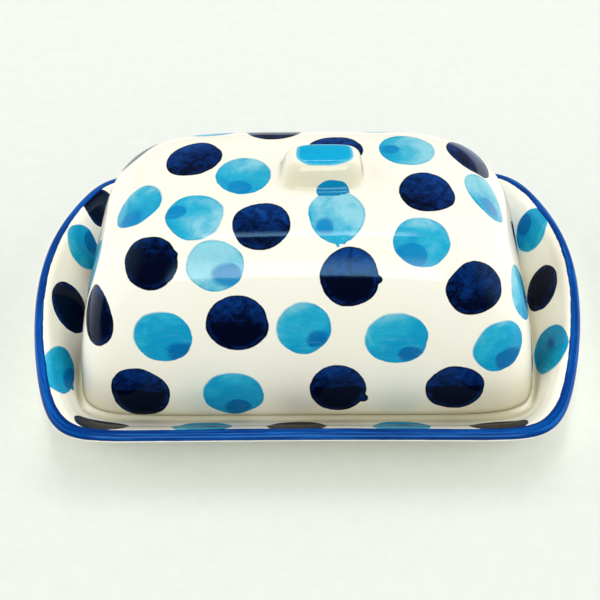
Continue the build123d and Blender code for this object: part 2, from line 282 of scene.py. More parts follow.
def lid_height(x, y, inset=0.0, rise=LID_RISE):
    """Height of the cover's rounded surface over plan points x, y, found by halving."""
    low, high = np.zeros(len(x)), np.ones(len(x))
    for _ in range(48):
        share = (low + high) / 2
        half_x, half_y, power = lid_outline(share, inset)
        inside = np.abs(x / half_x) ** power + np.abs(y / half_y) ** power < 1
        low, high = np.where(inside, share, low), np.where(inside, high, share)
    return FLOOR_Z + rise * (low + high) / 2


def stack(first, rings, last):
    """Closed surface from a pole, rings of equal count and a pole."""
    count = len(rings[0])
    verts = np.concatenate([[first]] + rings + [[last]])
    here = np.arange(count)
    following = (here + 1) % count
    quads = []
    for k in range(len(rings) - 1):
        low, high = 1 + k * count, 1 + (k + 1) * count
        quads.append(np.stack([low + here, low + following, high + following, high + here], 1))
    top = 1 + (len(rings) - 1) * count
    tris = [np.stack([np.zeros(count, int), 1 + following, 1 + here], 1),
            np.stack([top + here, top + following, np.full(count, len(verts) - 1)], 1)]
    return verts, np.concatenate(quads), np.concatenate(tris)


def lid_surface():
    """The cover from the middle of its inside, round its bottom edge, to the top of the knob.
    Returns vertices, quads, triangles and the zone of each vertex."""
    angles = loop_angles(LID_L, LID_W, BASE_POWER, LID_COUNT)
    rings, zones = [], []

    def ring(outline, height, zone=OUTER, centre_x=0.0):
        half_x, half_y, power = outline
        x, y = unit_loop(angles, half_x, half_y, power)
        x, y = centre_x + half_x * x, half_y * y
        z = height(x, y) if callable(height) else np.full(LID_COUNT, height)
        rings.append(np.stack([x, y, z], 1))
        zones.append(zone)

    def wall_shares(count):
        shares = np.sin(np.pi / 2 * np.linspace(0, 1, count))
        return shares[shares < WALL_END]

    # inside: the roof, then the wall downward
    roof_edge = lid_outline(0.93, WALL)
    for share in np.linspace(0, 1, 22)[1:-1]:
        ring(between((0, 0, 2.6), roof_edge, share),
             lambda x, y: lid_height(x, y, WALL, ROOF_RISE), UNDER)
    for share in wall_shares(47)[::-1]:
        if share * ROOF_RISE >= 1.2:
            ring(lid_outline(share, WALL), FLOOR_Z + ROOF_RISE * share, UNDER)
    for offset, height, zone in LID_EDGE:
        ring((LID_L + offset, LID_W + offset, BASE_POWER), FLOOR_Z + height, zone)
    # outside wall
    outer_shares = wall_shares(71)
    for share in outer_shares:
        if share * LID_RISE >= 1.5:
            ring(lid_outline(share), FLOOR_Z + LID_RISE * share)
    # crown, turning from the cover's outline to the knob's
    wall_top = lid_outline(outer_shares[-1])
    knob_root = (KNOB_L + KNOB_PROFILE[0][0], KNOB_D + KNOB_PROFILE[0][1], KNOB_POWER)
    crown_steps = 24
    for k in range(1, crown_steps + 1):
        share = k / crown_steps
        ring(between(wall_top, knob_root, share), lid_height, centre_x=KNOB_X * share)
    for add_l, add_d, rise in fair(KNOB_PROFILE, step=0.42)[1:]:
        ring((KNOB_L + add_l, KNOB_D + add_d, KNOB_POWER),
             lambda x, y: np.minimum(lid_height(x, y) + rise, KNOB_TOP_Z),
             centre_x=KNOB_X + KNOB_LEAN * rise / KNOB_RISE)
    flat_top = (KNOB_L + KNOB_PROFILE[-1][0], KNOB_D + KNOB_PROFILE[-1][1], 3.0)
    for share in (0.8, 0.6, 0.4, 0.2):
        ring(between((0, 0, 2.0), flat_top, share), KNOB_TOP_Z, centre_x=KNOB_TOP_X)
    zone = np.concatenate([[UNDER], np.repeat(zones, LID_COUNT), [OUTER]])
    return (*stack([0, 0, FLOOR_Z + ROOF_RISE], rings, [KNOB_TOP_X, 0, KNOB_TOP_Z]), zone)


def dish_surface():
    """The dish from the middle of its underside, round foot and rim, to the middle of its floor.
    Returns vertices, quads, triangles, the zone of each vertex, its distance inward along the
    profile from the top of the lip, and the distance along the lip at each point of a ring."""
    angles = loop_angles(HALF_L, HALF_W, CORNER_POWER, DISH_COUNT)
    rings, zones = [], []

    def ring(half_x, half_y, z, zone, lift=0.0, share=0.0, scale=1.0):
        power = FLOOR_POWER + (CORNER_POWER - FLOOR_POWER) * share
        x, y = unit_loop(angles, half_x, half_y, power,
                         END_BULGE * (0.12 + 0.88 * share), SIDE_BULGE * share)
        rise = END_RISE * lift * np.maximum(0, 1 - y * y) * x**4
        rings.append(np.stack([half_x * x * scale, half_y * y * scale, z + rise], 1))
        zones.append(zone)

    def foot_zone(z, otherwise):
        return BARE if z < 0.35 else otherwise

    recess_x, recess_y, _ = FOOT_PROFILE[0]
    for scale in np.linspace(0, 1, 30)[1:]:
        ring(recess_x - FOOT_W, recess_y - FOOT_W, FOOT_RECESS, UNDER, scale=scale)
    for half_x, half_y, z in fair(FOOT_PROFILE, step=0.4)[1:]:
        ring(half_x - FOOT_W, half_y - FOOT_W, z, foot_zone(z, UNDER))
    # flat of the foot ring
    foot_in = np.array(FOOT_PROFILE[-1][:2]) - FOOT_W
    for share in (0.25, 0.5, 0.75):
        ring(*between(foot_in, DISH_PROFILE[0][:2], share), 0.0, BARE)
    for half_x, half_y, z, lift, share in fair(DISH_PROFILE, step=0.75):
        ring(half_x, half_y, z, foot_zone(z, OUTER), lift, share)
    for scale in np.linspace(1, 0, 40)[1:-1]:
        ring(FLOOR_HALF_L, FLOOR_HALF_W, FLOOR_Z, INNER, share=FLOOR_SHARE * scale, scale=scale)

    points = np.array(rings)
    steps = np.linalg.norm(np.diff(points, axis=0), axis=2)
    arc = np.concatenate([np.zeros((1, DISH_COUNT)), np.cumsum(steps, axis=0)])
    top = np.argmax(points[:, :, 2], axis=0)
    from_lip = arc - arc[top, np.arange(DISH_COUNT)]
    past_lip = np.arange(len(rings))[:, None] > top[None, :]
    zone = np.repeat(np.array(zones)[:, None], DISH_COUNT, 1)
    zone = np.where((zone == OUTER) & past_lip, INNER, zone)
    lip = points[int(np.median(top))]
    lip_steps = np.linalg.norm(np.diff(np.vstack([lip, lip[:1]]), axis=0), axis=1)
    return (*stack([0, 0, FOOT_RECESS], rings, [0, 0, FLOOR_Z]),
            np.concatenate([[UNDER], zone.ravel(), [INNER]]),
            np.concatenate([[-999], from_lip.ravel(), [999]]),
            np.concatenate([[0], np.cumsum(lip_steps)]))


def vertex_normals(verts, quads, tris):
    normals = np.zeros_like(verts)
    for faces in (quads, tris):
        first, second, last = verts[faces[:, 0]], verts[faces[:, 1]], verts[faces[:, -1]]
        face_normals = np.cross(second - first, last - first)
        for k in range(faces.shape[1]):
            np.add.at(normals, faces[:, k], face_normals)
    return normals / np.maximum(np.linalg.norm(normals, axis=1), 1e-12)[:, None]


# ---------------------------------------------------------------- dots on the mesh
class Dot:
    """One row of a dot table, with its own axes on the surface."""

    def __init__(self, row):
        row = np.array(row + (0.0,) * (DOT_COLUMNS - len(row)), float)
        self.centre, self.half, self.kind = row[0:3], row[6:8], row[9]
        self.patch, self.nib = row[10:13], row[13:16]
        normal = row[3:6] / np.linalg.norm(row[3:6])
        # axes follow X, or Y where the surface faces mostly along X
        facing_x = abs(normal[0]) >= 0.75
        across = np.array([0, np.sign(normal[0]), 0] if facing_x else [1.0, 0, 0])
        across = across - normal * (normal @ across)
        across = across / np.linalg.norm(across)
        up = np.cross(normal, across)
        cos, sin = math.cos(math.radians(row[8])), math.sin(math.radians(row[8]))
        self.normal = normal
        self.across, self.up = cos * across + sin * up, -sin * across + cos * up

    def place(self, points):
        """Where points lie within the dot, in shares of its half sizes."""
        offset = points - self.centre
        across, up = offset @ self.across, offset @ self.up
        flat = np.maximum(np.hypot(across, up), 1e-9)
        stretch = np.minimum(np.linalg.norm(offset, axis=-1) / flat, DOT_STRETCH)
        return across * stretch / self.half[0], up * stretch / self.half[1]


def assign_dots(verts, faces, allowed, dots):
    """Gives each face its nearest dot, and each of its corners that dot's values."""
    first, second, last = verts[faces[:, 0]], verts[faces[:, 1]], verts[faces[:, -1]]
    normals = np.cross(second - first, last - first)
    normals /= np.maximum(np.linalg.norm(normals, axis=1), 1e-12)[:, None]
    corners = verts[faces]
    middles = corners.mean(1)
    nearest = np.full(len(faces), DOT_REACH)
    owner = np.full(len(faces), -1)
    for i, dot in enumerate(dots):
        across, up = dot.place(middles)
        gap = (np.hypot(across, up) - 1) * dot.half.sum() / 2
        near = np.linalg.norm(middles - dot.centre, axis=1) < 2.2 * dot.half.max()
        chosen = allowed & near & (normals @ dot.normal > 0.05) & (gap < nearest)
        nearest[chosen] = gap[chosen]
        owner[chosen] = i

    mark, pool, nib = (np.zeros(corners.shape) for _ in range(3))
    seed = np.zeros(corners.shape[:2])
    for i, dot in enumerate(dots):
        owned = owner == i
        if not owned.any():
            continue
        across, up = dot.place(corners[owned])
        mark[owned] = np.stack([across, up, np.full(across.shape, dot.kind)], -1)
        pool[owned] = dot.patch
        nib[owned] = dot.nib
        seed[owned] = 1.37 * i + 0.31
    return mark.reshape(-1, 3), pool.reshape(-1, 3), nib.reshape(-1, 3), seed.reshape(-1)


def corner_order(quads, tris):
    """Vertex of each face corner, in mesh order."""
    return np.concatenate([quads.ravel(), tris.ravel()])


def make_piece(part, verts, quads, tris, zone, dots, dot_zone, extra, material):
    """Mesh of a part with its dots and extra corner attributes, put in place of the part."""
    name = f"{part}_glazed"
    mesh = bpy.data.meshes.new(name)
    faces = quads.tolist() + tris.tolist()
    mesh.from_pydata((verts * MM).tolist(), [], faces)
    mesh.polygons.foreach_set("use_smooth", np.ones(len(faces), bool))
    dots = [Dot(row) for row in dots]
    painted = [assign_dots(verts, group, (zone[group] == dot_zone).all(1), dots)
               for group in (quads, tris)]
    painted = [np.concatenate(values) for values in zip(*painted)]
    attributes = dict(zip(("mark", "pool", "nib", "seed"), painted)) | extra
    for label, data in attributes.items():
        kind, field = ("FLOAT_VECTOR", "vector") if data.ndim == 2 else ("FLOAT", "value")
        attribute = mesh.attributes.new(label, kind, "CORNER")
        attribute.data.foreach_set(field, data.astype(np.float32).ravel())
    mesh.materials.append(material)
    mesh.update()
    piece = link_object(name, mesh)
    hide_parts(part)
    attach(piece, part)


def link_object(name, data):
    made = bpy.data.objects.new(name, data)
    bpy.context.scene.collection.objects.link(made)
    return made


# ---------------------------------------------------------------- shader nodes
class Value:
    """Output of a node. Arithmetic and comparison on it add Math nodes."""

    def __init__(self, net, socket):
        self.net = net
        self.socket = socket

    def __add__(self, other):
        return self.net.math("ADD", self, other)

    def __radd__(self, other):
        return self.net.math("ADD", other, self)

    def __sub__(self, other):
        return self.net.math("SUBTRACT", self, other)

    def __rsub__(self, other):
        return self.net.math("SUBTRACT", other, self)

    def __mul__(self, other):
        return self.net.math("MULTIPLY", self, other)

    def __truediv__(self, other):
        return self.net.math("DIVIDE", self, other)

    def __pow__(self, other):
        return self.net.math("POWER", self, other)

    def __gt__(self, other):
        return self.net.math("GREATER_THAN", self, other)

    def __lt__(self, other):
        return self.net.math("LESS_THAN", self, other)

    def __abs__(self):
        return self.net.math("ABSOLUTE", self)


class Net:
    """Short ways to add nodes to a material or world."""

    def __init__(self, owner):
        owner.use_nodes = True
        self.tree = owner.node_tree
        self.tree.nodes.clear()

    def add(self, kind, inputs=None, **properties):
        node = self.tree.nodes.new(kind)
        for name, value in properties.items():
            setattr(node, name, value)
        for key, value in (inputs or {}).items():
            socket = node.inputs[key]
            if isinstance(value, Value):
                self.tree.links.new(value.socket, socket)
            else:
                socket.default_value = (*value, 1.0) if isinstance(value, tuple) else value
        return node

    def out(self, node, key=0):
        return Value(self, node.outputs[key])

    def math(self, operation, first, second=0.0, third=0.0):
        inputs = {0: first, 1: second, 2: third}
        return self.out(self.add("ShaderNodeMath", inputs, operation=operation))

    def sqrt(self, value):
        return self.math("SQRT", value)

    def vector(self, x, y, z):
        return self.out(self.add("ShaderNodeCombineXYZ", {0: x, 1: y, 2: z}))

    def split(self, vector):
        node = self.add("ShaderNodeSeparateXYZ", {0: vector})
        return [self.out(node, k) for k in range(3)]

    def attribute(self, name, output="Fac"):
        return self.out(self.add("ShaderNodeAttribute", attribute_name=name), output)

    def object_place(self):
        return self.out(self.add("ShaderNodeTexCoord"), "Object")

    def noise(self, vector, scale, detail=2.0, rough=0.5, distort=0.0):
        return self.out(self.add("ShaderNodeTexNoise", {
            "Vector": vector, "Scale": scale, "Detail": detail,
            "Roughness": rough, "Distortion": distort}))

    def swing(self, noise, by):
        """Noise of 0 to 1 turned into -by to by."""
        return (noise - 0.5) * (2 * by)

    def ramp(self, value, over, to=(0.0, 1.0)):
        """Smooth step between the two values of to, as value crosses over."""
        inputs = dict(enumerate((value, *over, *to)))
        return self.out(self.add("ShaderNodeMapRange", inputs, interpolation_type="SMOOTHSTEP"))

    def mix(self, share, base, other, mode="MIX"):
        node = self.add("ShaderNodeMix", data_type="RGBA", blend_type=mode, clamp_factor=True,
                        inputs={0: share, 6: base, 7: other})
        return self.out(node, 2)


# ---------------------------------------------------------------- glaze and paint
class DotField:
    """What the shader knows of the dot at a point: place in it, outline, kind."""

    def __init__(self, net):
        self.across, self.up, self.kind = net.split(net.attribute("mark", "Vector"))
        self.patch = net.split(net.attribute("pool", "Vector"))
        nib_across, nib_up, nib_radius = net.split(net.attribute("nib", "Vector"))
        self.seed = net.attribute("seed")
        across, up, kind = self.across, self.up, self.kind
        self.place = net.vector(across, up, self.seed * 3.71)
        self.broad = net.noise(self.place, scale=1.15, detail=0.0)
        self.medium = net.noise(self.place, scale=2.9, detail=1.0)
        fine = net.noise(self.place, scale=9.0, detail=2.0)
        self.is_knob = (kind > 2.5) * (kind < 3.5)
        self.is_navy = (kind > 1.5) * (kind < 2.5)
        self.is_lobe = kind > 3.5

        # edge: below 0 inside the outline, which is round, or squarer on the knob
        radius = net.sqrt(across * across + up * up)
        square = (abs(across) ** 3.0 + abs(up) ** 3.0) ** 0.3333
        radius = radius * (1.0 - self.is_knob) + square * self.is_knob
        uneven = net.swing(self.broad, by=0.066) + (
            net.swing(self.medium, by=0.022) + net.swing(fine, by=0.012))
        edge = (radius + uneven) - 0.985
        nib_x, nib_y = across - nib_across, up - nib_up
        nib_edge = net.sqrt(nib_x * nib_x + nib_y * nib_y) - nib_radius
        # a nib without a radius is moved out of reach
        nib_edge = nib_edge + (nib_radius < 0.01) * 9.0
        self.edge = net.math("SMOOTH_MIN", edge, nib_edge, 0.13)

        # the soft, watery side of a turquoise dot lies away from its pooled patch
        patch_across, patch_up, _ = self.patch
        length = net.sqrt(patch_across * patch_across + patch_up * patch_up)
        self.side = (across * patch_across + up * patch_up) / net.math("MAXIMUM", length, 0.05)
        softness = net.ramp(self.side, over=(-0.9, 0.2), to=(0.05, 0.016))
        width = softness * (1.0 - self.is_navy) + self.is_navy * 0.016
        self.mask = net.ramp(self.edge / width, over=(-1.0, 1.0), to=(1.0, 0.0)) * (kind > 0.5)


def turquoise_paint(net, dot, place):
    """Watery wash with a pooled patch, a darker outline, streaks and grain."""
    wash = net.noise(dot.place, scale=1.35, detail=3.0, rough=0.55, distort=0.35)
    grain = net.noise(dot.place, scale=22.0, detail=3.0, rough=0.7)
    low = net.ramp(net.split(place)[2], over=(0.036, 0.064), to=(1.0, 0.0))
    own = net.noise(net.vector(dot.seed * 7.3, 4.2, 0.7), scale=1.0, detail=0.0)
    # strength of the wash: towards the patch, low on the piece, and by the dot's kind
    tone = (dot.side * 0.38 + 0.60) + net.swing(wash, by=0.62)
    tone = tone + (low * 0.30 + net.swing(own, by=0.20))
    tone = tone + (dot.kind - 1.0) * 1.2
    paint = net.mix(net.ramp(tone, over=(0.10, 0.72)), WASH_PALE, WASH_MID)
    paint = net.mix(net.ramp(tone, over=(0.62, 1.12), to=(0.0, 0.9)), paint, WASH_FULL)

    # pooled patch, a little flattened
    patch_across, patch_up, patch_radius = dot.patch
    x, y = dot.across - patch_across, dot.up - patch_up
    uneven = net.swing(dot.broad, by=0.12) + net.swing(dot.medium, by=0.06)
    patch_edge = (net.sqrt(x * x + (y * y) * 1.35) + uneven) - patch_radius
    blur = net.ramp(dot.broad, over=(0.35, 0.65), to=(0.02, 0.13))
    pooled = net.ramp(patch_edge / blur, over=(-1.0, 1.0), to=(0.85, 0.0))
    paint = net.mix(pooled * (patch_radius > 0.01), paint,
                    net.mix(low, WASH_POOL_HIGH, WASH_POOL))

    line = (net.ramp(dot.edge, over=(-0.10, -0.03), to=(0.0, 0.5))
            * net.ramp(wash, over=(0.35, 0.6), to=(0.2, 1.0)))
    paint = net.mix(line, paint, WASH_LINE)
    streaks = net.noise(net.vector(dot.across * 1.2, dot.up * 5.0, dot.seed * 2.3),
                        scale=1.6, detail=3.0, rough=0.6)
    paint = net.mix(net.ramp(streaks, over=(0.50, 0.78)) * 0.10, paint, WASH_PALE)
    # painted shade: the lobe on the knob's front face takes a darker blue
    lobe_shade = dot.is_lobe * net.ramp(wash, over=(0.3, 0.7), to=(0.8, 0.98))
    paint = net.mix(lobe_shade, paint, LOBE_BLUE_SHADED)
    knob = dot.is_knob * net.ramp(streaks, over=(0.3, 0.7), to=(0.95, 0.75))
    paint = net.mix(knob, paint, KNOB_BLUE)
    border = dot.is_knob * net.ramp(dot.edge, over=(-0.16, -0.02), to=(0.0, 0.55))
    paint = net.mix(border, paint, KNOB_BORDER)
    grain = net.mix(net.ramp(grain, over=(0.3, 0.7)), GRAIN_COOL, GRAIN_BRIGHT)
    return net.mix(1.0, paint, grain, mode="MULTIPLY")


def navy_paint(net, dot):
    """Navy, rubbed thin in places so that cobalt shows, with a dark outline, and lighter cobalt in
    the upper half as a painted reflection.
    """
    rub = net.noise(dot.place, scale=2.1, detail=5.0, rough=0.62, distort=1.2)
    fine = net.noise(net.vector(dot.across * 3.0, dot.up * 7.0, dot.seed * 1.9),
                     scale=3.0, detail=4.0, rough=0.7, distort=0.8)
    # painted reflection: the patch's second value lightens the dot's upper half
    upper_half_sheen = net.ramp(dot.up + net.swing(dot.broad, by=0.10), over=(0.02, 0.09))
    thin = (dot.patch[0] + dot.patch[1] * upper_half_sheen) + (
        dot.up * 0.24 + (net.swing(rub, by=0.55) + net.swing(fine, by=0.24)))
    cobalt = net.ramp(thin, over=(-0.02, 0.42), to=(0.0, 0.85))
    paint = net.mix(cobalt, NAVY_DARK, NAVY_COBALT)
    paint = net.mix(net.ramp(thin, over=(0.28, 0.62), to=(0.0, 0.55)), paint, NAVY_LIGHT)
    # broken cobalt line just inside the outline
    inner = (net.ramp(dot.edge, over=(-0.22, -0.10))
             * net.ramp(dot.edge, over=(-0.09, -0.03), to=(1.0, 0.0)))
    broken = inner * net.ramp(rub, over=(0.40, 0.62), to=(0.0, 0.6))
    paint = net.mix(broken, paint, NAVY_COBALT)
    return net.mix(net.ramp(dot.edge, over=(-0.07, -0.02), to=(0.0, 0.9)), paint, NAVY_DARK)


def ivory_glaze(net, place, cool, warm):
    """Clouded, faintly specked glaze, darker and greener with painted shade and gathered glaze."""
    cloud = net.noise(place, scale=22.0, detail=3.0, rough=0.55)
    speck = net.noise(place, scale=900.0, detail=1.0, rough=0.5)
    ivory = net.mix(net.ramp(cloud, over=(0.3, 0.7)), cool, warm)
    ivory = net.mix(net.ramp(speck, over=(0.72, 0.80), to=(0.0, 0.10)), ivory, GLAZE_SPECK)
    # painted shade in creases and along edges, mixed with gathered glaze, from a corner attribute
    shade_and_pool = net.attribute("shade_and_pooling") * net.ramp(cloud, over=(0.25, 0.6), to=(0.5, 1.0))
    return net.mix(shade_and_pool, ivory, GLAZE_SHADE_AND_POOL)


def lip_band(net):
    """Brushed blue band along the lip: how far it covers, and its colour."""
    inward, along, _ = net.split(net.attribute("lip", "Vector"))
    slow = net.noise(net.vector(along * 0.035, inward * 0.02, 3.0), scale=1.0, rough=0.5)
    quick = net.noise(net.vector(along * 0.22, 1.7, inward * 0.05), scale=1.0, rough=0.6)
    inner_edge = BAND_IN + (net.swing(slow, by=0.75) + net.swing(quick, by=0.32))
    outer_edge = BAND_OUT + net.swing(quick, by=0.22)
    cover = (net.ramp(inward - inner_edge, over=(-0.10, 0.12), to=(1.0, 0.0))
             * net.ramp(inward - outer_edge, over=(-0.14, 0.14)))
    brush = net.noise(net.vector(along * 0.05, inward * 1.1, 0.4),
                      scale=1.0, detail=4.0, rough=0.6, distort=0.4)
    fade = net.noise(net.vector(along * 0.016, inward * 0.25, 5.1), scale=1.0)
    ink = net.mix(net.ramp(brush * 0.65 + fade * 0.35, over=(0.36, 0.64)), BAND_DARK, BAND_MID)
    ink = net.mix(net.ramp(brush, over=(0.50, 0.72)) * 0.6, ink, BAND_LIGHT)
    inner_line = net.ramp(inner_edge - inward, over=(0.15, 0.75), to=(0.75, 0.0))
    outer_line = net.ramp(inward - outer_edge, over=(0.1, 0.7), to=(0.6, 0.0))
    return cover, net.mix(net.math("MAXIMUM", inner_line, outer_line), ink, BAND_EDGE)


def glaze(name, cool, warm, with_band):
    """Glazed, painted clay, bare where the piece stands."""
    material = bpy.data.materials.new(name)
    net = Net(material)
    dot = DotField(net)
    place = net.object_place()
    dots = net.mix(dot.is_navy, turquoise_paint(net, dot, place), navy_paint(net, dot))
    colour = net.mix(dot.mask, ivory_glaze(net, place, cool, warm), dots)
    paint = dot.mask
    blue = dot.mask * dot.is_navy
    if with_band:
        band, ink = lip_band(net)
        colour = net.mix(band, colour, ink)
        paint = net.math("MAXIMUM", paint, band)
        blue = net.math("MAXIMUM", blue, band)

    grit = net.noise(place, scale=420.0, detail=4.0, rough=0.7)
    naked = net.ramp(net.attribute("bare") + net.swing(grit, by=0.35), over=(0.42, 0.58))
    clay = net.mix(net.ramp(grit, over=(0.3, 0.7)), CLAY_DARK, CLAY_PALE)
    speck = net.ramp(net.noise(place, scale=1500.0, detail=1.0), over=(0.66, 0.72))
    colour = net.mix(naked, colour, net.mix(speck, clay, CLAY_SPECK))
    # painted shade in reflections: each piece is drawn darker where it is seen mirrored in the
    # other, so it shows only faintly
    mirrored = net.out(net.add("ShaderNodeLightPath"), "Is Glossy Ray")
    colour = net.mix(mirrored * 0.7, colour, BLACK)

    rough = (0.055 + net.noise(place, scale=60.0, detail=3.0) * 0.05) + naked * 0.62
    ripple = net.noise(place, scale=75.0, detail=2.0, rough=0.5)
    pits = net.noise(place, scale=520.0, detail=2.0, rough=0.6)
    height = (ripple * 0.9 + pits * 0.035) + paint * 0.02
    height = height + (naked * grit) * 0.35
    bump = net.add("ShaderNodeBump", {"Strength": 0.35, "Distance": 0.00028, "Height": height})
    shader = net.add("ShaderNodeBsdfPrincipled", {
        "Base Color": colour,
        "Roughness": rough,
        "Specular IOR Level": 0.25 + blue * 0.02,
        "Specular Tint": net.mix(blue, WHITE, BLUE_SHINE),
        "Normal": net.out(bump),
        "IOR": 1.52})
    net.add("ShaderNodeOutputMaterial", {"Surface": net.out(shader)})
    return material


# ---------------------------------------------------------------- the two pieces
def build_lid():
    verts, quads, tris, zone = lid_surface()
    normals = vertex_normals(verts, quads, tris)
    # gentle unevenness of a hand-made wall, fading out towards the bottom edge
    x, y, z = verts.T
    wave = (np.sin(0.062 * x + 1.1) * np.cos(0.071 * y - 0.4 + 0.02 * z)
            + 0.55 * np.sin(0.118 * x - 0.09 * z + 2.3) + 0.45 * np.sin(0.131 * y + 0.05 * x + 0.7))
    depth = np.where(zone == OUTER, ease(z, start=8.0, end=20.0), 0)
    verts = verts + normals * (0.13 * wave * depth)[:, None]

    # painted shade along the bottom edge, fading up the low wall, and round the knob, most at its
    # front and back; glaze gathers there a little too
    z = verts[:, 2]
    # painted contact shade at the bottom edge, fading up the low wall
    low = 0.85 * (1 - ease(z, start=6.3, end=9.2)) + 0.20 * (1 - ease(z, start=8.0, end=30.0))
    low = np.where(zone == OUTER, low, 0)
    normal_x, normal_y, normal_z = normals.T
    facing_y = normal_y ** 2 / np.maximum(normal_x ** 2 + normal_y ** 2, 1e-9)
    steep = (1 - np.abs(normal_z)) * (0.25 + 0.75 * facing_y)
    steep = np.maximum(np.where((zone == OUTER) & (z > CROWN_Z - 0.05), steep, 0), 0)
    # painted shade on the knob's steep sides, most on its front
    knob = (0.85 * steep ** 0.5 * ease(z, start=CROWN_Z, end=CROWN_Z + 0.6)
            * (1 - ease(z, start=CROWN_Z + 8.2, end=CROWN_Z + 9.9)))
    corners = corner_order(quads, tris)
    extra = {"bare": (zone == BARE)[corners].astype(float),
             "shade_and_pooling": np.maximum(low, knob)[corners]}
    make_piece("lid", verts, quads, tris, zone, LID_DOTS, OUTER, extra,
               glaze("lid_glaze_paint", LID_COOL, LID_WARM, with_band=False))


def build_dish():
    verts, quads, tris, zone, from_lip, along = dish_surface()
    # slight wobble of the wall, growing towards the rim
    x, y, z = verts.T
    turn = np.arctan2(y / HALF_W, x / HALF_L)
    high = ease(z, start=7.0, end=19.0)
    verts = verts + np.stack([
        0.16 * high * np.sin(3 * turn + 0.8) * np.sign(x),
        0.16 * high * np.sin(4 * turn + 2.1) * np.sign(y) * (np.abs(y) > 1),
        0.22 * high * np.sin(2 * turn + 1.2) + 0.10 * high * np.sin(7 * turn)], 1)

    # painted shade where the floor turns up into the wall, round where the cover stands; darker also
    # just above the foot
    x, y, z = verts.T
    beyond = np.maximum(ease(np.abs(x), start=79.5, end=82.5), ease(np.abs(y), start=46.0, end=49.0))
    # painted shade in the trough between the cover and the dish's wall
    trough_shade = 0.75 * beyond * (1 - ease(z, start=7.2, end=11.5))
    trough_shade = np.where(zone == INNER, trough_shade, 0)
    foot = np.where(zone == OUTER, 1 - ease(z, start=0.4, end=1.6), 0) * 0.7

    corners = corner_order(quads, tris)
    ring_count = (len(verts) - 2) // DISH_COUNT
    ring_index = np.concatenate([[0], np.tile(np.arange(DISH_COUNT), ring_count), [0]])
    lip_place = along[ring_index[corners]]
    # where a quad closes the loop its far corners run on past the start
    quad_place = lip_place[:quads.size].reshape(-1, 4)
    closing = quad_place.max(1) - quad_place.min(1) > 200
    ends = quad_place[closing]
    quad_place[closing] = np.where(ends < 100, ends + along[-1], ends)
    extra = {"bare": (zone == BARE)[corners].astype(float),
             "shade_and_pooling": np.maximum(trough_shade, foot)[corners],
             "lip": np.stack([from_lip[corners], lip_place, 0 * lip_place], 1)}
    make_piece("dish", verts, quads, tris, zone, DISH_DOTS, INNER, extra,
               glaze("dish_glaze_paint", DISH_COOL, DISH_WARM, with_band=True))


# ---------------------------------------------------------------- floor, sky, lights, camera
PAPER_DARK, PAPER_PALE = (0.718, 0.751, 0.714), (0.737, 0.770, 0.732)
PAPER_VOID = (0.02, 0.02, 0.022)
PAPER_END = 0.075          # in reflections the paper stops this far in front of the centre


def build_floor():
    bpy.ops.mesh.primitive_circle_add(
        vertices=96, radius=4.0, fill_type="NGON", location=(0, 0, -0.0002))
    floor = bpy.context.object
    floor.name = "studio_floor"
    material = bpy.data.materials.new("floor_paper")
    net = Net(material)
    place = net.object_place()
    grain = net.noise(place, scale=160.0, detail=3.0, rough=0.6)
    paper = net.add("ShaderNodeBsdfPrincipled", {
        "Base Color": net.mix(net.ramp(grain, over=(0.3, 0.7)), PAPER_DARK, PAPER_PALE),
        "Roughness": 0.85,
        "Specular IOR Level": 0.15})
    void = net.add("ShaderNodeBsdfDiffuse", {"Color": PAPER_VOID})
    mirrored = net.out(net.add("ShaderNodeLightPath"), "Is Glossy Ray")
    forward = net.split(place)[1] * -1.0
    ended = mirrored * net.ramp(forward, over=(PAPER_END, PAPER_END + 0.05))
    surface = net.add("ShaderNodeMixShader", {0: ended, 1: net.out(paper), 2: net.out(void)})
    net.add("ShaderNodeOutputMaterial", {"Surface": net.out(surface)})
    floor.data.materials.append(material)


# Mirrored sky: a bright window in front, above an elevation in degrees, and a dim back
FRONT_EDGE, FRONT_LOW, FRONT_HIGH, FRONT_TOP = 15.5, 0.03, 7.5, 0.12
BACK_LOW, BACK_TOP = 0.22, 0.12
WINDOW_SHIFT = -0.01
STRIP, SIDE_GLOSS = 10.0, 0.95                      # overhead strip and both sides
SOFT_BACK, SOFT_FRONT, SOFT_SIDE = 0.66, 0.97, 1.15  # sky as it lights matt surfaces
SKY_LIGHT, BACKDROP, BACKDROP_POWER = (1.0, 1.0, 0.985), (0.905, 0.947, 0.91), 1.0
DEGREES = 57.2958


